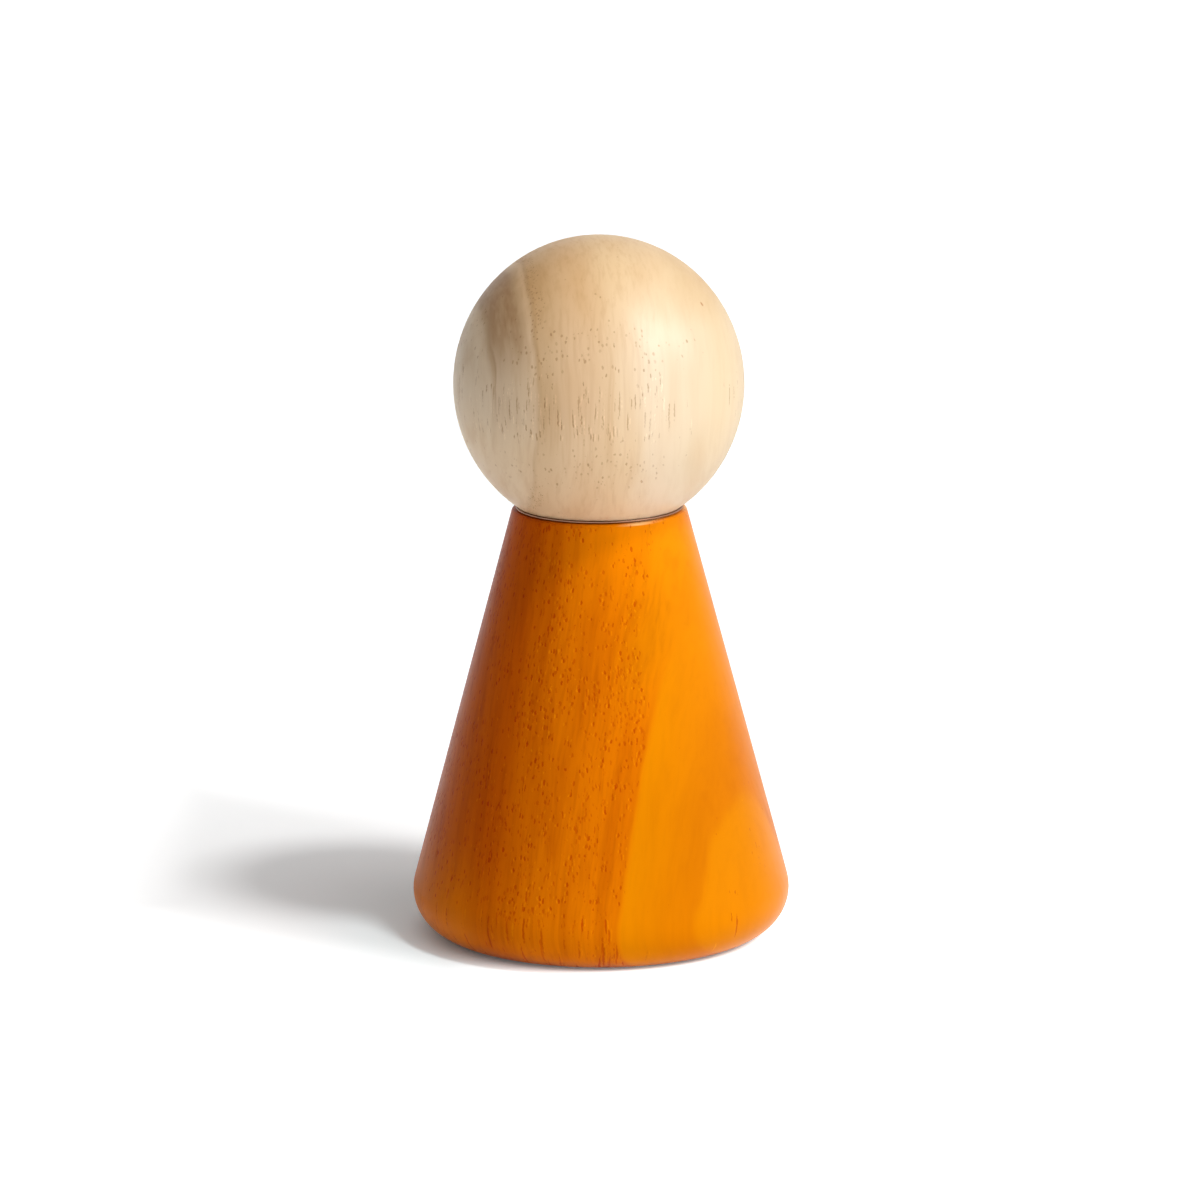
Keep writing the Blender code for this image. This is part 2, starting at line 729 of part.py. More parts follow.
def burr_hub():
    """Hexagonal sleeve with a lip that carries the inner burr."""
    length = hub_top - hub_bottom
    sleeve = plate("burr_hub", [hexagon(hub_flats)], hub_bottom + HUB_FLANGE / 2, length - HUB_FLANGE / 2)
    boolean(sleeve, "UNION", rod("hub_lip", hub_lip_radius, HUB_FLANGE, SMALL_STEPS, hub_bottom))
    bore = plate("hub_bore", [hexagon(socket_flats)], hub_bottom - FIT_GAP, length + 2 * FIT_GAP)
    boolean(sleeve, "DIFFERENCE", bore)
    return sleeve


# Adjuster and cover

def adjusting_wheel():
    """Scalloped finger wheel with a mouth for the end screw and a pocket for the nut."""
    count = SCALLOP_COUNT * SCALLOP_POINTS
    outline = []
    for k in range(count):
        angle = k * math.tau / count
        radius = wheel_radius - SCALLOP_DEPTH * (1.0 - math.cos(SCALLOP_COUNT * angle)) / 2
        outline.append((radius * math.cos(angle), radius * math.sin(angle)))
    mouth = circle(wheel_mouth, SMALL_STEPS)
    wheel = plate("adjusting_wheel", [outline, mouth], shaft_end, wheel_top - shaft_end)
    floor = shaft_end + WHEEL_LEDGE
    pocket = plate("nut_pocket", [hexagon(pocket_flats)], floor, wheel_top + FIT_GAP - floor)
    boolean(wheel, "DIFFERENCE", pocket)
    return wheel


def adjusting_nut():
    bore = circle(THREAD_RADIUS + FIT_GAP, SMALL_STEPS)
    return plate("adjusting_nut", [hexagon(nut_flats), bore], nut_bottom, NUT_HEIGHT)


def cover_ring():
    ring = flat_ring("cover_ring", cover_bore, flange_radius, COVER_THICKNESS, RING_STEPS, cover_bottom)
    hole = [
        (0.0, COVER_THICKNESS + FIT_GAP),
        (screw_hole, COVER_THICKNESS + FIT_GAP),
        (screw_hole, SCREW_HEAD_HEIGHT),
        (SCREW_HEAD_RADIUS + FIT_GAP, 0.0),
        (SCREW_HEAD_RADIUS + FIT_GAP, -FIT_GAP),
        (0.0, -FIT_GAP),
    ]
    holes = turned("cover_holes", hole, PIN_STEPS, cover_bottom)
    boolean(ring, "DIFFERENCE", around(holes, SCREW_COUNT, screw_pitch))
    return ring


def cover_screws():
    """Countersunk wood screws, up through the ring and the flange into the body."""
    profile = [
        (0.0, SCREW_LENGTH),
        (SCREW_SHANK, SCREW_LENGTH - SCREW_POINT),
        (SCREW_SHANK, SCREW_HEAD_HEIGHT),
        (SCREW_HEAD_RADIUS, 0.0),
        (0.0, 0.0),
    ]
    first = turned("cover_screw_1", profile, PIN_STEPS, cover_bottom)
    screws = [first]
    for i in range(1, SCREW_COUNT):
        screws.append(add_object(f"cover_screw_{i + 1}", first.data, cover_bottom))
    recesses = around(cross("cover_recesses", cover_bottom), SCREW_COUNT, screw_pitch)
    for i, screw in enumerate(screws):
        angle = i * math.tau / SCREW_COUNT
        screw.location.x = screw_pitch * math.cos(angle)
        screw.location.y = screw_pitch * math.sin(angle)
        boolean(screw, "DIFFERENCE", recesses)
    return screws


# Assembly

def axis_empty(name, level, parent=None):
    """An empty on the mill's axis that carries one moving body."""
    empty = bpy.data.objects.new(name, None)
    PARTS.objects.link(empty)
    empty.location.z = level
    if parent:
        carry(parent, [empty])
    return empty


def carry(empty, pieces):
    bpy.context.view_layer.update()
    for piece in pieces:
        piece.parent = empty
        piece.matrix_parent_inverse = empty.matrix_world.inverted()


def finish(pieces, name, colour, roughness, metallic=0.0):
    """Give each piece a material of its own."""
    for piece in pieces:
        piece.data.materials.clear()
        piece.data.materials.append(material(f"{name}_{piece.name}", colour, roughness, metallic))


def assemble():
    body = body_cone()
    washer = neck_washer()
    ball = head_ball()
    insert = head_insert()
    shaft = drive_shaft()
    grip = shaft_grip_ring()
    housing = grinder_housing()
    bush = shaft_bush()
    thrust = thrust_washer()
    clip = retaining_clip()
    seat = spring_washer()
    spring = burr_spring()
    outer = outer_burr()
    inner = inner_burr()
    hub = burr_hub()
    wheel = adjusting_wheel()
    nut = adjusting_nut()
    stop = end_screw()
    cover = cover_ring()
    screws = cover_screws()

    finish([body], "orange_stained_wood", (0.78, 0.24, 0.012), 0.38)
    finish([ball], "natural_wood", (0.68, 0.46, 0.27), 0.50)
    finish([washer, thrust, clip, seat, spring, stop], "steel", (0.55, 0.54, 0.52), 0.30, 1.0)
    finish([screws[0]], "steel", (0.55, 0.54, 0.52), 0.30, 1.0)
    finish([shaft], "aluminium", (0.72, 0.72, 0.73), 0.35, 1.0)
    finish([nut], "brass", (0.71, 0.47, 0.17), 0.30, 1.0)
    finish([outer, inner], "ceramic", (0.82, 0.80, 0.75), 0.25)
    finish([insert, housing, cover], "black_plastic", (0.03, 0.03, 0.032), 0.45)
    finish([bush, hub], "pale_plastic", (0.74, 0.71, 0.64), 0.40)
    finish([wheel], "grey_plastic", (0.14, 0.14, 0.145), 0.45)
    finish([grip], "rubber", (0.02, 0.02, 0.02), 0.75)

    drive_axis = axis_empty("drive_axis", clip_bottom)
    head_axis = axis_empty("head_axis", head_level, drive_axis)
    burr_axis = axis_empty("burr_axis", inner_burr_bottom, drive_axis)
    adjuster_axis = axis_empty("adjuster_axis", nut_bottom, burr_axis)
    carry(drive_axis, [shaft, grip, thrust, clip, spring, stop])
    carry(head_axis, [ball, insert])
    carry(burr_axis, [inner, hub])
    carry(adjuster_axis, [wheel, nut])


clear_scene()
PARTS = new_collection("pepper_mill")
TOOLS = new_collection("cutters")
assemble()
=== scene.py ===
import json
import math

import bpy
from mathutils import Matrix, Vector


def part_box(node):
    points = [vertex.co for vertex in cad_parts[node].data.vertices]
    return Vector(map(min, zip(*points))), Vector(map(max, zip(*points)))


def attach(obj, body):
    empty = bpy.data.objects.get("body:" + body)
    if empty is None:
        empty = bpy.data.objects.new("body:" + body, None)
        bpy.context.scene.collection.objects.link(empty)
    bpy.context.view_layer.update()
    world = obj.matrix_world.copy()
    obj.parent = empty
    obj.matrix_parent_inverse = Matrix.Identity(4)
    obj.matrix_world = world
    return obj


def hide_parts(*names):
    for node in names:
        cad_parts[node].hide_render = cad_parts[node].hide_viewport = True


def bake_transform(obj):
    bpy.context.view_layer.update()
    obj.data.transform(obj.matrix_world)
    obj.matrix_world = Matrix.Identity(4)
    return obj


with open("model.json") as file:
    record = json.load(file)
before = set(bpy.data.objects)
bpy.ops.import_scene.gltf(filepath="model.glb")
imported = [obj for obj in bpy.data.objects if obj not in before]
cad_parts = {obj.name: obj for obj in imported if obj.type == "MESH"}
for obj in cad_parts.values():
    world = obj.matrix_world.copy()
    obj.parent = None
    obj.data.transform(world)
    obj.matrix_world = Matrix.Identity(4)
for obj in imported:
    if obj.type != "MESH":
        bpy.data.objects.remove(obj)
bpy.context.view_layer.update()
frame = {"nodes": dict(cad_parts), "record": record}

MM = 0.001

# Camera, in the frame's metres
LENS_MM = 180.0
SENSOR_MM = 36.0
CAMERA_PITCH = math.radians(12.604)
CAMERA_ROLL = math.radians(-0.2714)
CAMERA_DISTANCE = 1.0797
CAMERA_TARGET = Vector((0.00004, 0.0, 0.06077))

# Light: a key above the right front, a lamp seen only in reflections, and a wide soft glow low on the right
KEY_TURN = math.radians(-37)
KEY_HEIGHT = math.radians(61)
KEY_ANGLE = math.radians(8)
KEY_STRENGTH = 1.22
SHINE_TURN = math.radians(-28.5)
SHINE_HEIGHT = math.radians(39.4)
SHINE_ANGLE = math.radians(20)
SHINE_STRENGTH = 3.4
GLOW_TURN = math.radians(-30)
GLOW_HEIGHT = math.radians(15)
GLOW_STRENGTH = 3.4
GLOW_FALL = 5.0
AMBIENT = 0.37
AMBIENT_FALL = 0.9
REFLECTED_FRONT = 0.45
REFLECTED_BACK = 1.0
REFLECTED_EDGE = (0.6, 0.97)    # how far back a direction points where one gives way to the other

# Floor
FLOOR_RADIUS = 6.0
FLOOR_DROP = 0.0001             # below the foot
FLOOR_SIDES = 64
FLOOR_ALBEDO = 0.94
FLOOR_NEAR_LIT = (0.83, 0.925, 0.95)    # evens out the orange light from the body
FLOOR_NEAR_SHADE = (0.78, 0.913, 0.94)
FLOOR_LIFT = 0.235              # where the shadow falls
FLOOR_LIFT_LIT = 0.95           # on the key's side
FLOOR_LIFT_FOOT = 0.15          # share that is left under the foot

# Places on the floor, in millimetres from the foot's middle
UNDER_FOOT = 28.0
CLEAR_LIT = 30.5                # the foot's painted dark edge ends here on the key's side
CLEAR_SHADE = 36.5              # and here in the shadow
TINT_END = 62.0
KEY_TO_SHADE = (-25.0, 15.0)    # along the key's light
TINT_TO_SHADE = (-10.0, 15.0)
SHADOW_FRONT = (30.0, 46.0)     # across the key's light
SHADOW_BACK = (-25.0, -40.0)
SHADOW_END = (75.0, 90.0)       # to the left

# Turned wood, beside what the frame gives
BALL_RADIUS = 0.0260
BALL_HALF_HEIGHT = 0.02663
BALL_FOOT_RADIUS = 0.01462
BALL_FOOT_ROUND = 0.0003
TENON_RADIUS = 0.0107
HEAD_BORE = 0.0080
DRILL_POINT = 0.0025
BASE_RADIUS = 0.03645
BASE_ROUND = 0.0077
NECK_RADIUS = 0.01565
NECK_DROP = 0.0002              # the seam lies this far below the solid's top
NECK_ROUND = 0.0006
RING_INNER = 0.0112
RING_OUTER = 0.0150
RING_LOW = 0.0002               # above the body
RING_HIGH = 0.0005
RING_EASE = 0.00010
NECK_BORE = 0.0110
NECK_BORE_LENGTH = 0.0105
SHOULDER_HEIGHT = 0.0035
MAGAZINE_RADIUS = 0.01487
GRINDER_BORE = 0.01787
RECESS_RADIUS = 0.02327
FLANGE_THICKNESS = 0.0015
FIT_GAP = 0.0003
EDGE_BREAK = 0.0003             # where the lathe tool takes off a sharp edge
SPRING_WIRE = 0.00040           # radius
SPRING_TURNS = 5
SPRING_TURN_STEPS = 40
WIRE_STEPS = 12
TURN_STEPS = 192
ARC_STEPS = 72
ROUND_STEPS = 20
BREAK_STEPS = 4
SIDE_ROWS = 60
SHARP_ANGLE = math.radians(32)

# Zones of the wood, from and to, in millimetres across the growth bands where nothing else is said
BALL_GRAIN_TURN = math.radians(7)
BALL_OUTER_LINE = (-21.3, -20.9)
BALL_INNER_LINE = (-14.3, -13.9)
BALL_SMOKE_AND_SHADE = (-21.4, -15.7)
BALL_SCRATCH = (-20.8, -20.7)
BALL_SPECK_LINE = (-14.6, -12.2)
BALL_SCRATCH_RISE = (-1.0, 9.0)         # this and the next three above the ball's middle
BALL_DASH_BELT = (-6.0, 5.0)
BALL_UPPER_DOTS = (6.5, 14.0)
BALL_LOWER_DOTS = (-13.5, -8.0)
BALL_FLECK = (18.2, -9.9, 15.7)         # from the ball's middle
CONE_GRAIN_TURN = math.radians(-30)
CONE_WIDE_LINE = (15.8, 17.2)
CONE_THIN_LINE = (18.9, 19.5)
CONE_PLAIN = (17.0, 20.5)
CONE_RIM_GLINT = (11.0, 14.0)
CONE_RIM_GLINT_RISE = (77.3, 77.6)            # above the floor
CONE_FOOT_RISE = (11.5, 9.0)            # above the floor, where the foot's pores take over from the side's
CONE_FOOT_WRAP = 31.0                   # the radius that the foot's pores run round

# Fibres of the wood: spacing in millimetres
BALL_FIBRE = 0.9
SMOKE_FIBRE = 2.4
CONE_FIBRE = 0.7
CONE_COLUMNS = 3.2

# Layers of pores: spacing and length in millimetres, and size as a share of the spacing
BALL_DASHES = (0.45, 8.0, 0.34)
BALL_DOTS = (0.70, 1.2, 0.36)
BALL_SPECKS = (0.42, 0.7, 0.42)
CONE_DOTS = (0.64, 1.6, 0.41)
CONE_DASHES = (0.60, 7.0, 0.32)
FOOT_DASHES = (0.60, 8.0, 0.39)

# Shifts of pores in millimetres, and the tints of pores and of the painted glints beside them
SECOND_LAYER = (13.7, 5.1, 31.0)        # keeps a layer from falling on the first one
THIRD_LAYER = (4.3, 27.0, 9.0)
BALL_GLINT_SHIFT = (0.40, -0.05, 0.0)    # from a pore to the painted glint beside it
DOT_GLINT_SHIFT = (-0.36, -0.2, 0.0)
DASH_GLINT_SHIFT = (0.40, 0.22, 0.0)
GLINT_SIZE = 0.75                        # of a painted glint, as a share of its pore
# painted glints: lighter colour beside the pores, as if their edges caught the light
BALL_GLINT_TINT = (1.20, 1.24, 1.30)
CONE_GLINT_TINT = (1.16, 1.46, 3.0)
BALL_PORE_TINT = (0.65, 0.53, 0.42)
CONE_PORE_TINT = (0.76, 0.44, 0.33)


# Node helpers

class Nodes:
    """A node tree, with short calls for the nodes used here."""

    def __init__(self, tree):
        self.tree = tree

    def node(self, kind, **settings):
        node = self.tree.nodes.new("ShaderNode" + kind)
        for key, value in settings.items():
            setattr(node, key, value)
        return node

    def put(self, socket, value):
        if isinstance(value, bpy.types.NodeSocket):
            self.tree.links.new(value, socket)
        else:
            socket.default_value = value

    def place(self):
        """The surface point in the object's own millimetres."""
        return self.scaled(self.node("TexCoord").outputs["Object"], (1 / MM, 1 / MM, 1 / MM))

    def vector(self, operation, a, b=(0.0, 0.0, 0.0)):
        node = self.node("VectorMath", operation=operation)
        self.put(node.inputs[0], a)
        self.put(node.inputs[1], b)
        return node.outputs["Value" if operation in ("DOT_PRODUCT", "LENGTH") else "Vector"]

    def scaled(self, vector, scale):
        return self.vector("MULTIPLY", vector, scale)

    def math(self, operation, *values):
        node = self.node("Math", operation=operation)
        for socket, value in zip(node.inputs, values):
            self.put(socket, value)
        return node.outputs[0]

    def product(self, first, *others):
        for other in others:
            first = self.math("MULTIPLY", first, other)
        return first

    def most(self, first, *others):
        """The largest of some values."""
        for other in others:
            first = self.math("MAXIMUM", first, other)
        return first

    def span(self, value, low, high, to_low=0.0, to_high=1.0, smooth=True):
        """Map a value from one range to another, clamped."""
        node = self.node("MapRange", interpolation_type="SMOOTHSTEP" if smooth else "LINEAR")
        for socket, number in zip(node.inputs, (value, low, high, to_low, to_high)):
            self.put(socket, number)
        return node.outputs[0]

    def noise(self, vector, detail=2.0, roughness=0.5, colour=False):
        node = self.node("TexNoise")
        node.inputs["Scale"].default_value = 1.0
        node.inputs["Detail"].default_value = detail
        node.inputs["Roughness"].default_value = roughness
        self.put(node.inputs["Vector"], vector)
        return node.outputs["Color" if colour else 0]

    def noise_line(self, value, detail=2.0):
        node = self.node("TexNoise", noise_dimensions="1D")
        node.inputs["Scale"].default_value = 1.0
        node.inputs["Detail"].default_value = detail
        self.put(node.inputs["W"], value)
        return node.outputs[0]

    def wander(self, vector, scale, reach):
        """A smooth random move, by half the reach at most."""
        noise = self.noise(self.scaled(vector, scale), detail=1.0, colour=True)
        return self.scaled(self.vector("SUBTRACT", noise, (0.5, 0.5, 0.5)), reach)

    def cells(self, vector):
        node = self.node("TexVoronoi")
        node.inputs["Scale"].default_value = 1.0
        self.put(node.inputs["Vector"], vector)
        return node.outputs["Distance"], node.outputs["Color"]

    def ramp(self, value, stops, ease="LINEAR"):
        """A colour ramp over (position, colour) stops."""
        node = self.node("ValToRGB")
        band = node.color_ramp
        band.interpolation = ease
        while len(band.elements) < len(stops):
            band.elements.new(1.0)
        for element, (position, colour) in zip(band.elements, stops):
            element.position = position
            element.color = (*colour, 1.0)
        self.put(node.inputs[0], value)
        return node.outputs["Color"]

    def mix(self, share, a, b, blend="MIX"):
        node = self.node("Mix", data_type="RGBA", blend_type=blend)
        self.put(node.inputs[0], share)
        for socket, colour in ((node.inputs[6], a), (node.inputs[7], b)):
            self.put(socket, colour if isinstance(colour, bpy.types.NodeSocket) else (*colour, 1.0))
        return node.outputs[2]

    def tinted(self, share, base, tint):
        """The base colour, multiplied by a tint where the share says so."""
        return self.mix(share, base, tint, "MULTIPLY")

    def bump(self, height, distance, strength=1.0):
        node = self.node("Bump")
        node.inputs["Strength"].default_value = strength
        node.inputs["Distance"].default_value = distance
        self.put(node.inputs["Height"], height)
        return node.outputs["Normal"]


class Graph(Nodes):
    """A material's node tree and its shader."""

    def __init__(self, name):
        self.material = bpy.data.materials.new(name)
        self.material.use_nodes = True
        super().__init__(self.material.node_tree)
        self.shader = self.tree.nodes["Principled BSDF"]

    def set(self, name, value):
        self.put(self.shader.inputs[name], value)


def srgb(red, green, blue):
    """An 8-bit display colour as linear values."""
    linear = []
    for level in (red, green, blue):
        share = level / 255
        linear.append(share / 12.92 if share <= 0.04045 else ((share + 0.055) / 1.055) ** 2.4)
    return tuple(linear)


# Wood

def grain_axes(graph, angle):
    """The surface point, made a little crooked, with X across the bands and Z up the grain; its X; its Z."""
    place = graph.place()
    drift = graph.wander(place, (0.030, 0.030, 0.012), (2.6, 2.6, 0.0))
    waver = graph.wander(place, (0.18, 0.18, 0.06), (1.4, 1.4, 0.0))
    crooked = graph.vector("ADD", place, graph.vector("ADD", drift, waver))
    turn = graph.node("VectorRotate", rotation_type="Z_AXIS")
    turn.inputs["Angle"].default_value = -angle
    graph.put(turn.inputs["Vector"], crooked)
    axes = graph.node("SeparateXYZ")
    graph.put(axes.inputs[0], turn.outputs[0])
    return turn.outputs[0], axes.outputs["X"], axes.outputs["Z"]


def banded(graph, across, stops):
    """Colours or levels across the growth bands, from (millimetres, value) stops."""
    low = stops[0][0]
    reach = stops[-1][0] - low
    share = graph.span(across, low, low + reach, smooth=False)
    return graph.ramp(share, [((at - low) / reach, value) for at, value in stops], "EASE")


def levels(stops):
    return [(at, (level, level, level)) for at, level in stops]


def window(graph, value, zone, soft):
    """One inside a zone, fading to nothing outside it."""
    low, high = zone
    rise = graph.span(value, low - soft, low + soft)
    fall = graph.span(value, high - soft, high + soft, 1.0, 0.0)
    return graph.product(rise, fall)


def pores(graph, place, layer, density, size=1.0):
    """Vessel lines: dashes where the surface runs along the grain, dots where it cuts across, some faint."""
    pitch, length, reach = layer
    reach = size * reach
    ragged = graph.wander(place, (1 / pitch, 1 / pitch, 1 / pitch), (0.7, 0.7, 0.3))
    cell = graph.vector("ADD", graph.scaled(place, (1 / pitch, 1 / pitch, 1 / length)), ragged)
    distance, tint = graph.cells(cell)
    chance = graph.node("SeparateColor")
    graph.put(chance.inputs[0], tint)
    spare = graph.math("SUBTRACT", density, chance.outputs[0])
    width = graph.span(spare, 0.0, 0.3, -0.1 * reach, reach, smooth=False)
    inside = graph.span(graph.math("SUBTRACT", width, distance), 0.0, 0.4 * reach)
    strength = graph.span(chance.outputs[1], 0.0, 1.0, 0.4, 1.0, smooth=False)
    return graph.product(inside, strength)


def vessels(graph, place, shift, layer, density):
    """A layer of vessel lines, and the thin painted glints that lie beside them, where a pore's edge would
    catch the light.
    """
    dark = pores(graph, place, layer, density)
    moved = pores(graph, graph.vector("SUBTRACT", place, shift), layer, density, GLINT_SIZE)
    return dark, graph.most(graph.math("SUBTRACT", moved, dark), 0.0)


def clustered(graph, density, grain, scale, most):
    """The density of pores, thinned out in some patches and raised in others."""
    clusters = graph.noise(graph.scaled(grain, scale))
    return graph.product(density, graph.span(clusters, 0.36, 0.60, 0.5, most))


def streaks(graph, grain, pitch):
    """Fibre streaks along the grain, finer across the growth bands than along them."""
    stretched = graph.scaled(grain, (1 / pitch, 0.3 / pitch, 0.015 / pitch))
    return graph.noise(stretched, detail=3.0, roughness=0.6)


def finish_wood(graph, base, fibre, pore, pore_tint, gloss, gloss_tint, roughness):
    """Darken and sink the pores, and set the surface's gloss."""
    graph.set("Base Color", graph.tinted(pore, base, pore_tint))
    relief = graph.math("SUBTRACT", graph.product(fibre, 0.10), pore)
    graph.set("Normal", graph.bump(relief, 0.00005, 0.6))
    uneven = graph.math("ADD", fibre, pore)
    graph.set("Roughness", graph.span(uneven, 0.3, 1.3, roughness, roughness + 0.15))
    graph.set("Specular IOR Level", gloss)
    graph.set("Specular Tint", (*gloss_tint, 1.0))
    return graph.material


def ball_bands(graph, across):
    """Colours of the ball's growth bands."""
    return banded(graph, across, [
        (-26.0, srgb(232, 211, 182)),
        (-21.4, srgb(231, 207, 176)),
        (-20.5, srgb(226, 199, 166)),
        (-16.5, srgb(229, 202, 168)),
        (-14.5, srgb(230, 202, 167)),
        (-13.6, srgb(218, 183, 140)),
        (-7.0, srgb(230, 195, 154)),
        (0.0, srgb(237, 209, 172)),
        (7.0, srgb(237, 214, 183)),
        (14.0, srgb(229, 208, 176)),
        (20.0, srgb(224, 200, 163)),
        (26.0, srgb(219, 195, 159)),
    ])


def ball_marks(graph, base, grain, across, above):
    """The ball's two growth lines, with a smoky streak between them, darker to the top with painted shade,
    and a scratch by the outer one.
    """
    upper = graph.span(above, -8.0, 4.0, 0.3, 1.0)
    outer = graph.product(window(graph, across, BALL_OUTER_LINE, 0.5), upper)
    ends = graph.span(graph.math("ABSOLUTE", above), 3.0, 11.0, 0.45, 1.0)
    inner = graph.product(window(graph, across, BALL_INNER_LINE, 0.5), ends)
    base = graph.tinted(graph.most(outer, inner), base, srgb(231, 220, 206))
    # a smoky streak, with painted shade that grows towards the top
    smoke_and_shade = graph.product(
        window(graph, across, BALL_SMOKE_AND_SHADE, 1.3),
        graph.span(above, 1.0, 15.0, 0.0, 0.95),
        graph.span(streaks(graph, grain, SMOKE_FIBRE), 0.35, 0.65, 0.75, 1.15),
    )
    base = graph.tinted(smoke_and_shade, base, srgb(200, 182, 162))
    scratch = graph.product(
        window(graph, across, BALL_SCRATCH, 0.2),
        window(graph, above, BALL_SCRATCH_RISE, 4.0),
        0.8,
    )
    return graph.tinted(scratch, base, srgb(200, 172, 142))


def ball_tones(graph, base, grain, across, above):
    """Slow changes: painted shade, warm, to the top and deep at the upper right, painted light at the lower
    left, and faint clouds.
    """
    # painted shade: warmer and darker towards the top
    base = graph.tinted(graph.span(above, 8.0, 24.0, 0.0, 0.9), base, srgb(255, 246, 228))
    # painted shade at the upper right
    painted_shade_upper_right = graph.product(graph.span(above, 11.0, 17.0, 0.0, 0.7), graph.span(across, 7.0, 14.0))
    base = graph.tinted(painted_shade_upper_right, base, srgb(248, 240, 230))
    # painted light at the lower left, as from the floor below
    lighter = graph.product(graph.span(above, 1.0, -9.0, 0.0, 0.32), graph.span(across, 9.0, 0.0))
    base = graph.mix(lighter, base, srgb(255, 226, 186))
    clouds = graph.noise(graph.scaled(grain, (0.12, 0.06, 0.02)))
    return graph.tinted(graph.span(clouds, 0.40, 0.68, 0.0, 0.5), base, srgb(240, 226, 206))


def ball_fleck(graph, base, centre):
    """One brown fleck at the upper right of the ball."""
    right, back, up = BALL_FLECK
    apart = graph.vector("SUBTRACT", graph.place(), (right, back, centre + up))
    distance = graph.vector("LENGTH", graph.scaled(apart, (2.6, 2.6, 0.8)))
    return graph.tinted(graph.span(distance, 1.0, 0.5), base, srgb(222, 186, 160))


def ball_pores(graph, grain, across, above):
    """Dashes round the ball's middle, dots above and below it, and specks at the ends of the inner line."""
    density = banded(graph, across, levels([
        (-26.0, 0.40),
        (-15.2, 0.55),
        (-14.0, 0.75),
        (-9.0, 0.70),
        (5.0, 0.70),
        (11.0, 0.40),
        (15.0, 0.15),
        (26.0, 0.2),
    ]))
    density = clustered(graph, density, grain, (0.16, 0.16, 0.04), 1.2)
    belt = window(graph, above, BALL_DASH_BELT, 2.5)
    upper = window(graph, above, BALL_UPPER_DOTS, 2.0)
    lower = window(graph, above, BALL_LOWER_DOTS, 2.0)
    spots = graph.most(upper, lower)
    ends = graph.span(graph.math("ABSOLUTE", above), 11.0, 15.0)
    on_line = graph.product(window(graph, across, BALL_SPECK_LINE, 0.5), ends)
    in_belt = graph.product(density, graph.span(belt, 0.0, 1.0, 0.2, 2.0, smooth=False))
    in_spots = graph.product(density, graph.span(spots, 0.0, 1.0, 0.35, 1.3, smooth=False))
    # edges are painted glints beside the dashes
    dashes, edges = vessels(graph, grain, BALL_GLINT_SHIFT, BALL_DASHES, in_belt)
    dots = pores(graph, graph.vector("ADD", grain, SECOND_LAYER), BALL_DOTS, in_spots)
    specks = pores(graph, graph.vector("ADD", grain, THIRD_LAYER), BALL_SPECKS, on_line)
    return graph.most(dashes, graph.product(graph.most(dots, specks), 0.8)), edges


def natural_wood():
    """Pale open-pored wood of the ball, clear finished, with two growth lines and a smoky streak that is
    partly painted shade.
    """
    graph = Graph("natural_wood")
    grain, across, height = grain_axes(graph, BALL_GRAIN_TURN)
    centre = (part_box("head_ball")[1].z - BALL_HALF_HEIGHT) / MM
    above = graph.math("SUBTRACT", height, centre)
    base = ball_bands(graph, across)
    base = ball_marks(graph, base, grain, across, above)
    base = ball_tones(graph, base, grain, across, above)
    fibre = streaks(graph, grain, BALL_FIBRE)
    shade = graph.product(graph.span(fibre, 0.42, 0.72, 0.0, 0.28), graph.span(across, 2.0, 11.0, 1.0, 0.35))
    base = graph.tinted(shade, base, srgb(226, 208, 184))
    base = ball_fleck(graph, base, centre)
    pore, edges = ball_pores(graph, grain, across, above)
    # painted glints beside the pores
    base = graph.tinted(edges, base, BALL_GLINT_TINT)
    return finish_wood(graph, base, fibre, pore, BALL_PORE_TINT, 0.30, (1.0, 1.0, 1.0), 0.40)


def cone_bands(graph, across, height):
    """Colours of the cone's growth bands, and the two lines where the dark ones end."""
    base = banded(graph, across, [
        (-36.0, srgb(216, 110, 2)),
        (-16.0, srgb(200, 92, 1)),
        (-5.0, srgb(196, 86, 1)),
        (0.5, srgb(211, 103, 1)),
        (4.5, srgb(224, 116, 2)),
        (19.2, srgb(224, 118, 2)),
        (20.2, srgb(226, 133, 1)),
        (24.0, srgb(219, 126, 1)),
        (26.0, srgb(213, 120, 1)),
        (29.0, srgb(210, 117, 1)),
        (29.8, srgb(217, 128, 1)),
        (36.0, srgb(215, 127, 1)),
    ])
    upper = graph.product(graph.span(height, 40.0, 60.0, 0.0, 0.9), graph.span(across, 11.5, 17.5))
    base = graph.mix(upper, base, srgb(223, 130, 1))
    wide = window(graph, across, CONE_WIDE_LINE, 0.6)
    thin = window(graph, across, CONE_THIN_LINE, 0.4)
    lines = graph.product(graph.most(wide, thin), graph.span(height, 56.0, 38.0, 0.0, 0.65))
    return graph.tinted(lines, base, srgb(240, 228, 215))


def cone_streaks(graph, base, across, columns, fibre):
    """Broad and fine streaks, fainter on the plain side."""
    plain = graph.span(across, *CONE_PLAIN, 1.0, 0.3)
    shade = graph.product(graph.span(columns, 0.40, 0.70, 0.0, 0.5), plain)
    base = graph.tinted(shade, base, srgb(222, 200, 180))
    shade = graph.product(graph.span(fibre, 0.42, 0.72, 0.0, 0.4), plain)
    return graph.tinted(shade, base, srgb(222, 200, 180))


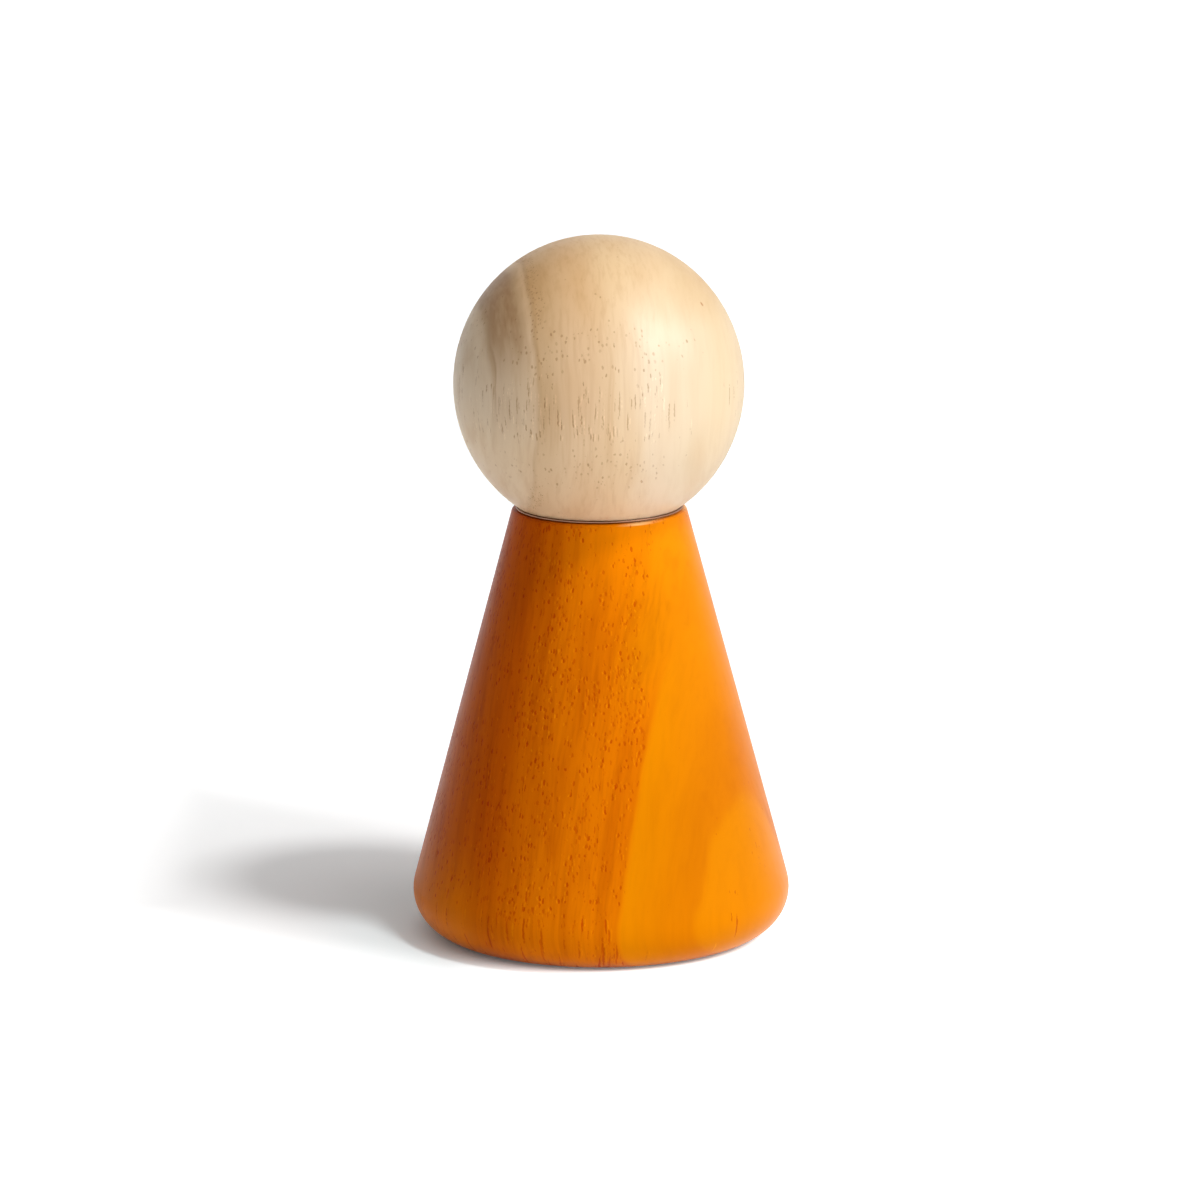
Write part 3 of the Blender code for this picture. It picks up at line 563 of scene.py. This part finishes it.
def cone_pores(graph, grain, across, height, columns):
    """Dots and dashes on the cone's side, and long dashes round its foot."""
    shift = graph.product(graph.span(height, 40.0, 64.0, 0.0, 4.5), graph.span(across, 6.0, 13.0))
    density = banded(graph, graph.math("ADD", across, shift), levels([
        (-36.0, 0.5),
        (-8.0, 0.65),
        (4.5, 0.85),
        (18.8, 0.8),
        (20.2, 0.14),
        (28.0, 0.12),
        (30.0, 0.25),
        (36.0, 0.2),
    ]))
    density = clustered(graph, density, grain, (0.14, 0.14, 0.05), 1.25)
    foot = graph.span(height, *CONE_FOOT_RISE)
    on_side = graph.product(density, graph.span(foot, 0.0, 1.0, 1.0, 0.3))
    on_foot = graph.product(density, graph.product(foot, 1.35))
    spoke = graph.vector("NORMALIZE", graph.scaled(grain, (1.0, 1.0, 0.0)))
    spoke = graph.scaled(spoke, (CONE_FOOT_WRAP, CONE_FOOT_WRAP, CONE_FOOT_WRAP))
    round_foot = graph.vector("ADD", spoke, graph.scaled(grain, (0.0, 0.0, 1.0)))
    moved = graph.vector("ADD", grain, SECOND_LAYER)
    dots, dot_glints = vessels(graph, grain, DOT_GLINT_SHIFT, CONE_DOTS, on_side)
    dashes, dash_glints = vessels(graph, moved, DASH_GLINT_SHIFT, CONE_DASHES, on_side)
    cuts, cut_glints = vessels(graph, round_foot, DASH_GLINT_SHIFT, FOOT_DASHES, on_foot)
    # edges are painted glints beside the pores
    edges = graph.product(graph.most(dot_glints, dash_glints), graph.span(columns, 0.36, 0.54))
    return graph.most(dots, cuts, graph.product(dashes, 0.7)), graph.most(edges, cut_glints)


def cone_tones(graph, base, across, height):
    """Painted light to the top right and the lower left, and a painted glint on the body's top edge."""
    # painted light at the top right, lifting the ball's shadow on the body
    lighter = graph.product(graph.span(height, 58.0, 78.0, 0.0, 0.4), graph.span(across, -1.0, 10.7))
    base = graph.mix(lighter, base, srgb(255, 150, 3))
    # painted light at the lower left, as from the floor
    low = graph.span(height, 24.0, 4.0, 0.0, 0.5)
    lighter = graph.product(low, graph.span(across, -0.3, -12.9, 0.3, 1.0))
    base = graph.mix(lighter, base, srgb(250, 140, 3))
    # painted glint on the body's top edge
    rim_glint = graph.product(graph.span(height, *CONE_RIM_GLINT_RISE, 0.0, 0.7), window(graph, across, CONE_RIM_GLINT, 1.5))
    return graph.mix(rim_glint, base, srgb(255, 215, 150))


def orange_wood():
    """The same wood stained orange, dark and full of pores left of a growth line and plain right of it."""
    graph = Graph("orange_wood")
    grain, across, height = grain_axes(graph, CONE_GRAIN_TURN)
    columns = streaks(graph, grain, CONE_COLUMNS)
    fibre = streaks(graph, grain, CONE_FIBRE)
    base = cone_bands(graph, across, height)
    base = cone_streaks(graph, base, across, columns, fibre)
    pore, edges = cone_pores(graph, grain, across, height, columns)
    # painted glints beside the pores
    base = graph.tinted(edges, base, CONE_GLINT_TINT)
    base = cone_tones(graph, base, across, height)
    stain = graph.node("Attribute", attribute_name="stain").outputs["Fac"]
    base = graph.mix(stain, srgb(206, 168, 118), base)
    return finish_wood(graph, base, fibre, pore, CONE_PORE_TINT, 0.04, (1.0, 0.5, 0.02), 0.30)


# Metals, plastics, ceramic and rubber

def turned_metal(name, colour, roughness):
    """Metal with fine lathe rings about Z."""
    graph = Graph(name)
    radius = graph.vector("LENGTH", graph.scaled(graph.place(), (1.0, 1.0, 0.0)))
    rings = graph.noise_line(graph.product(radius, 9.0), detail=4.0)
    stains = graph.noise(graph.scaled(graph.place(), (0.4, 0.4, 0.4)), detail=3.0)
    dull = tuple(0.72 * level for level in colour)
    graph.set("Base Color", graph.mix(graph.span(stains, 0.4, 0.75, 0.0, 0.6), colour, dull))
    graph.set("Metallic", 1.0)
    graph.set("Roughness", graph.span(rings, 0.25, 0.75, roughness - 0.06, roughness + 0.14))
    graph.set("Normal", graph.bump(rings, 0.00002, 0.5))
    return graph.material


def drawn_metal(name, colour, roughness):
    """Metal bar with die lines along Z."""
    graph = Graph(name)
    lines = graph.noise(graph.scaled(graph.place(), (6.0, 6.0, 0.06)), detail=4.0, roughness=0.6)
    smears = graph.noise(graph.scaled(graph.place(), (0.5, 0.5, 0.15)))
    dull = tuple(0.75 * level for level in colour)
    graph.set("Base Color", graph.mix(graph.span(smears, 0.4, 0.7, 0.0, 0.5), colour, dull))
    graph.set("Metallic", 1.0)
    graph.set("Roughness", graph.span(lines, 0.3, 0.7, roughness - 0.05, roughness + 0.15))
    graph.set("Normal", graph.bump(lines, 0.00003, 0.6))
    return graph.material


def moulded(name, colour, lighter, roughness, grain=3.5):
    """Moulded plastic or rubber: fine spark texture and slight flow marks."""
    graph = Graph(name)
    texture = graph.noise(graph.scaled(graph.place(), (grain, grain, grain)), detail=3.0, roughness=0.6)
    flow = graph.noise(graph.scaled(graph.place(), (0.25, 0.25, 0.5)))
    graph.set("Base Color", graph.mix(graph.span(flow, 0.35, 0.7, 0.0, 0.5), colour, lighter))
    graph.set("Roughness", graph.span(texture, 0.3, 0.7, roughness - 0.06, roughness + 0.12))
    graph.set("Normal", graph.bump(texture, 0.00003, 0.5))
    return graph.material


def ceramic(name):
    """Sintered ceramic, off-white with faint grey specks."""
    graph = Graph(name)
    specks, _ = graph.cells(graph.scaled(graph.place(), (2.2, 2.2, 2.2)))
    cloud = graph.noise(graph.scaled(graph.place(), (0.3, 0.3, 0.3)), detail=3.0)
    pale = graph.mix(graph.span(cloud, 0.35, 0.7, 0.0, 0.7), srgb(238, 235, 226), srgb(222, 216, 203))
    graph.set("Base Color", graph.mix(graph.span(specks, 0.16, 0.06), pale, srgb(168, 160, 148)))
    graph.set("Roughness", graph.span(cloud, 0.3, 0.7, 0.34, 0.48))
    graph.set("Normal", graph.bump(specks, 0.00002, 0.4))
    return graph.material


# Turned meshes

def rounded(before, corner, after, radius, steps):
    """Points of the arc that rounds the corner between two straight runs of a profile."""
    tip = Vector(corner)
    back = (Vector(before) - tip).normalized()
    ahead = (Vector(after) - tip).normalized()
    half = back.angle(ahead) / 2
    centre = tip + (back + ahead).normalized() * radius / math.sin(half)
    start = tip + back * radius / math.tan(half) - centre
    end = tip + ahead * radius / math.tan(half) - centre
    sweep = math.pi - 2 * half
    points = []
    for k in range(steps + 1):
        share = k / steps
        spoke = start * math.sin((1 - share) * sweep) + end * math.sin(share * sweep)
        points.append(tuple(centre + spoke / math.sin(sweep)))
    return points


def broken(corners, first, last):
    """Straight runs through corners with their sharp edges taken off, between a first and a last point."""
    chain = [first, *corners, last]
    points = []
    for before, corner, after in zip(chain, chain[1:], chain[2:]):
        points += rounded(before, corner, after, EDGE_BREAK, BREAK_STEPS)
    return points


def mesh_piece(name, points, faces):
    mesh = bpy.data.meshes.new(name)
    mesh.from_pydata(points, [], faces)
    mesh.shade_smooth()
    mesh.set_sharp_from_angle(angle=SHARP_ANGLE)
    piece = bpy.data.objects.new(name, mesh)
    bpy.context.scene.collection.objects.link(piece)
    return piece


def turned(name, profile, ring=False):
    """A fine mesh of revolution from (radius, height) points that run down the outer side."""
    points = []
    rows = []
    for radius, height in profile:
        count = TURN_STEPS if radius > 0.0 else 1
        rows.append(range(len(points), len(points) + count))
        for k in range(count):
            angle = k * math.tau / TURN_STEPS
            points.append((radius * math.cos(angle), radius * math.sin(angle), height))
    pairs = list(zip(rows, rows[1:]))
    if ring:
        pairs.append((rows[-1], rows[0]))
    faces = []
    for upper, lower in pairs:
        wide = len(upper)
        deep = len(lower)
        for k in range(TURN_STEPS):
            j = (k + 1) % TURN_STEPS
            corners = [upper[k % wide], lower[k % deep], lower[j % deep], upper[j % wide]]
            faces.append(list(dict.fromkeys(corners)))
    return mesh_piece(name, points, faces)


def turned_ball():
    """Natural ball with its flat foot, the tenon and the drilled bore."""
    low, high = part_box("head_ball")
    bore_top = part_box("head_insert")[1].z + FIT_GAP
    foot_angle = -math.acos(BALL_FOOT_RADIUS / BALL_RADIUS)
    centre = high.z - BALL_HALF_HEIGHT
    foot = centre + BALL_HALF_HEIGHT * math.sin(foot_angle)
    profile = [(0.0, high.z)]
    for k in range(1, ARC_STEPS):
        angle = math.pi / 2 + (foot_angle - math.pi / 2) * k / ARC_STEPS
        profile.append((BALL_RADIUS * math.cos(angle), centre + BALL_HALF_HEIGHT * math.sin(angle)))
    foot_edge = (BALL_FOOT_RADIUS, foot)
    profile += rounded(profile[-1], foot_edge, (0.0, foot), BALL_FOOT_ROUND, BREAK_STEPS)
    tenon_root = (TENON_RADIUS, foot)
    tenon = [(TENON_RADIUS, low.z), (HEAD_BORE, low.z)]
    profile.append(tenon_root)
    profile += broken(tenon, tenon_root, (HEAD_BORE, bore_top))
    profile += [(HEAD_BORE, bore_top), (0.0, bore_top + DRILL_POINT)]
    return turned("ball_wood", profile)


def turned_cone():
    """Stained body: straight side, rounded foot, and inside it the recess, bores and magazine."""
    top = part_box("body_cone")[1].z - NECK_DROP
    recess_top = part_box("grinder_housing")[0].z + FLANGE_THICKNESS + FIT_GAP
    magazine_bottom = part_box("grinder_housing")[1].z + FIT_GAP
    shoulder_top = top - NECK_BORE_LENGTH
    neck_edge = (NECK_RADIUS, top)
    base_edge = (BASE_RADIUS, 0.0)
    bore_edge = (NECK_BORE, top)
    recess_edge = (RECESS_RADIUS, 0.0)
    shell = rounded(bore_edge, neck_edge, base_edge, NECK_ROUND, BREAK_STEPS)
    foot = rounded(neck_edge, base_edge, (0.0, 0.0), BASE_ROUND, ROUND_STEPS)
    side = [tuple(Vector(shell[-1]).lerp(Vector(foot[0]), k / SIDE_ROWS)) for k in range(1, SIDE_ROWS)]
    outside = shell + side + foot
    outside += rounded(foot[-1], recess_edge, (RECESS_RADIUS, recess_top), EDGE_BREAK, BREAK_STEPS)
    inside = [
        (RECESS_RADIUS, recess_top),
        (GRINDER_BORE, recess_top),
        (GRINDER_BORE, magazine_bottom),
        (MAGAZINE_RADIUS, magazine_bottom),
        (MAGAZINE_RADIUS, shoulder_top - SHOULDER_HEIGHT),
        (NECK_BORE, shoulder_top),
    ]
    lip = rounded((NECK_BORE, shoulder_top), bore_edge, neck_edge, EDGE_BREAK, BREAK_STEPS)
    profile = outside + inside + lip
    piece = turned("cone_wood", profile, ring=True)
    stain = piece.data.attributes.new("stain", "FLOAT", "POINT")
    first = len(outside)
    last = first + len(inside)
    for row in range(len(profile)):
        for k in range(TURN_STEPS):
            stain.data[row * TURN_STEPS + k].value = 0.0 if first <= row < last else 1.0
    return piece


def neck_ring():
    """Thin steel ring with eased edges, lying in the gap between body and ball."""
    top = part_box("body_cone")[1].z - NECK_DROP
    inner_low = (RING_INNER, top + RING_LOW)
    inner_high = (RING_INNER, top + RING_HIGH)
    outer_high = (RING_OUTER, top + RING_HIGH)
    outer_low = (RING_OUTER, top + RING_LOW)
    profile = rounded(inner_high, outer_high, outer_low, RING_EASE, BREAK_STEPS)
    profile += rounded(outer_high, outer_low, inner_low, RING_EASE, BREAK_STEPS)
    profile += [inner_low, inner_high]
    return turned("neck_ring", profile, ring=True)


def coil_spring():
    """Coil of round wire, open at both ends of its box."""
    low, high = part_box("burr_spring")
    radius = high.x - SPRING_WIRE
    count = SPRING_TURNS * SPRING_TURN_STEPS
    rise = high.z - low.z - 2 * SPRING_WIRE
    points = []
    for k in range(count + 1):
        angle = k * math.tau / SPRING_TURN_STEPS
        height = low.z + SPRING_WIRE + rise * k / count
        for j in range(WIRE_STEPS):
            lean = j * math.tau / WIRE_STEPS
            reach = radius + SPRING_WIRE * math.cos(lean)
            lift = SPRING_WIRE * math.sin(lean)
            points.append((reach * math.cos(angle), reach * math.sin(angle), height + lift))
    faces = [list(range(WIRE_STEPS)), list(range(len(points) - 1, len(points) - WIRE_STEPS - 1, -1))]
    for k in range(count):
        for j in range(WIRE_STEPS):
            here = k * WIRE_STEPS + j
            beside = k * WIRE_STEPS + (j + 1) % WIRE_STEPS
            faces.append([here, here + WIRE_STEPS, beside + WIRE_STEPS, beside])
    return mesh_piece("coil_spring", points, faces)


def dress(piece, node, body, material):
    """Put a finished mesh in a CAD node's place."""
    piece.data.materials.append(material)
    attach(piece, body)
    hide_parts(node)


def dress_spring(material):
    """A coil of wire in the spring's place, between the hub, which is on the burr, and the washer above it.
    """
    piece = coil_spring()
    piece.data.materials.append(material)
    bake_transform(piece)
    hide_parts("burr_spring")


# Stage

def towards(turn, height):
    """The direction at a compass turn and a height above the floor."""
    return Vector((math.cos(height) * math.cos(turn), math.cos(height) * math.sin(turn), math.sin(height)))


def floor_lift(graph, place, distance, past):
    """The floor's own light: high on the key's side, low where the shadow falls, lowest under the foot."""
    beside = graph.vector("DOT_PRODUCT", place, towards(KEY_TURN - math.pi / 2, 0.0))
    left = graph.vector("DOT_PRODUCT", place, (-1.0, 0.0, 0.0))
    lit = graph.most(
        graph.span(past, *KEY_TO_SHADE, 1.0, 0.0),
        graph.span(beside, *SHADOW_FRONT, 0.0, 0.28),
        graph.span(beside, *SHADOW_BACK, 0.0, 0.15),
        graph.span(left, *SHADOW_END, 0.0, 0.2),
    )
    lift = graph.span(lit, 0.0, 1.0, FLOOR_LIFT, FLOOR_LIFT_LIT, smooth=False)
    # glow turned down near the foot: painted contact shade, wider on the shadow side
    clear_from = graph.span(past, *KEY_TO_SHADE, CLEAR_LIT, CLEAR_SHADE)
    return graph.product(lift, graph.span(distance, UNDER_FOOT, clear_from, FLOOR_LIFT_FOOT, 1.0))


def floor():
    """Wide white floor that keeps the object's shadow, with painted shade where the foot meets it."""
    bpy.ops.mesh.primitive_circle_add(
        vertices=FLOOR_SIDES, radius=FLOOR_RADIUS, fill_type="NGON", location=(0, 0, -FLOOR_DROP),
    )
    disc = bpy.context.object
    disc.name = "floor"
    graph = Graph("floor")
    place = graph.place()
    distance = graph.vector("LENGTH", place)
    past = graph.vector("DOT_PRODUCT", place, -towards(KEY_TURN, 0.0))
    near = graph.mix(graph.span(past, *TINT_TO_SHADE), FLOOR_NEAR_LIT, FLOOR_NEAR_SHADE)
    far = (FLOOR_ALBEDO, FLOOR_ALBEDO, FLOOR_ALBEDO)
    graph.set("Base Color", graph.mix(graph.span(distance, UNDER_FOOT, TINT_END), near, far))
    graph.set("Roughness", 1.0)
    graph.set("Specular IOR Level", 0.0)
    graph.set("Emission Color", (1.0, 1.0, 1.0, 1.0))
    rays = graph.node("LightPath")
    seen = graph.most(rays.outputs["Is Camera Ray"], rays.outputs["Is Glossy Ray"])
    graph.set("Emission Strength", graph.product(seen, floor_lift(graph, place, distance, past)))
    disc.data.materials.append(graph.material)


def surroundings():
    """White to the camera, a soft glow on the right, and in reflections bright only behind the object."""
    world = bpy.data.worlds.new("studio")
    bpy.context.scene.world = world
    world.use_nodes = True
    world.cycles.sampling_method = "NONE"
    graph = Nodes(world.node_tree)
    rays = graph.node("LightPath")
    direction = graph.node("TexCoord").outputs["Generated"]
    axes = graph.node("SeparateXYZ")
    graph.put(axes.inputs[0], direction)
    facing = graph.vector("DOT_PRODUCT", direction, towards(GLOW_TURN, GLOW_HEIGHT))
    glow = graph.math("POWER", graph.most(facing, 0.0), GLOW_FALL)
    around = graph.math("MULTIPLY_ADD", axes.outputs["Z"], -AMBIENT_FALL * AMBIENT, AMBIENT)
    soft = graph.math("MULTIPLY_ADD", glow, GLOW_STRENGTH, around)
    reflected = graph.span(axes.outputs["Y"], *REFLECTED_EDGE, REFLECTED_FRONT, REFLECTED_BACK)
    strength = graph.node("Mix", data_type="FLOAT")
    graph.put(strength.inputs[0], rays.outputs["Is Glossy Ray"])
    graph.put(strength.inputs[2], soft)
    graph.put(strength.inputs[3], reflected)
    unseen = graph.math("SUBTRACT", 1.0, rays.outputs["Is Camera Ray"])
    background = world.node_tree.nodes["Background"]
    background.inputs["Color"].default_value = (1.0, 1.0, 1.0, 1.0)
    light = graph.math("MULTIPLY_ADD", strength.outputs[0], unseen, rays.outputs["Is Camera Ray"])
    graph.put(background.inputs["Strength"], light)


def sun(name, turn, height, angle, strength):
    lamp = bpy.data.lights.new(name, "SUN")
    lamp.energy = strength
    lamp.angle = angle
    source = bpy.data.objects.new(name, lamp)
    source.rotation_euler = towards(turn, height).to_track_quat("Z", "Y").to_euler()
    bpy.context.scene.collection.objects.link(source)
    return source


def lamps():
    """The key gives the shadow, the other lamp the highlight."""
    key = sun("key", KEY_TURN, KEY_HEIGHT, KEY_ANGLE, KEY_STRENGTH)
    key.visible_glossy = False
    shine = sun("shine", SHINE_TURN, SHINE_HEIGHT, SHINE_ANGLE, SHINE_STRENGTH)
    shine.visible_diffuse = False


def camera():
    lens = bpy.data.cameras.new("camera")
    lens.lens = LENS_MM
    lens.sensor_width = SENSOR_MM
    view = bpy.data.objects.new("camera", lens)
    bpy.context.scene.collection.objects.link(view)
    back = Vector((0.0, -math.cos(CAMERA_PITCH), math.sin(CAMERA_PITCH)))
    aim = back.to_track_quat("Z", "Y").to_matrix().to_4x4() @ Matrix.Rotation(CAMERA_ROLL, 4, "Z")
    view.matrix_world = Matrix.Translation(CAMERA_TARGET + back * CAMERA_DISTANCE) @ aim
    bpy.context.scene.camera = view
    bpy.context.scene.view_settings.view_transform = "Standard"


def stage():
    floor()
    surroundings()
    lamps()
    camera()


def dress_all():
    """Every piece gets its finish, and four pieces a finer mesh."""
    finishes = {
        "orange_wood": orange_wood(),
        "natural_wood": natural_wood(),
        # the brown, dark tint is painted reflection of the wood and painted shade of the narrow seam
        "neck_steel": turned_metal("neck_steel", srgb(164, 124, 100), 0.34),
        "bright_steel": turned_metal("bright_steel", srgb(198, 198, 198), 0.26),
        "shaft_aluminium": drawn_metal("shaft_aluminium", srgb(206, 206, 208), 0.34),
        "nut_brass": turned_metal("nut_brass", srgb(206, 168, 92), 0.28),
        "white_ceramic": ceramic("white_ceramic"),
        "black_plastic": moulded("black_plastic", srgb(20, 20, 21), srgb(30, 30, 31), 0.46),
        "grey_plastic": moulded("grey_plastic", srgb(88, 88, 90), srgb(104, 104, 106), 0.44),
        "pale_plastic": moulded("pale_plastic", srgb(218, 214, 204), srgb(226, 223, 214), 0.36),
        "ring_rubber": moulded("ring_rubber", srgb(18, 18, 18), srgb(26, 26, 26), 0.72, grain=2.0),
    }
    for subpart in frame["record"]["subparts"]:
        materials = frame["nodes"][subpart["node"]].data.materials
        materials.clear()
        materials.append(finishes[subpart["material_slot"]])
    dress(turned_ball(), "head_ball", "head", finishes["natural_wood"])
    dress(turned_cone(), "body_cone", "body", finishes["orange_wood"])
    dress(neck_ring(), "neck_washer", "body", finishes["neck_steel"])
    dress_spring(finishes["bright_steel"])


dress_all()
stage()
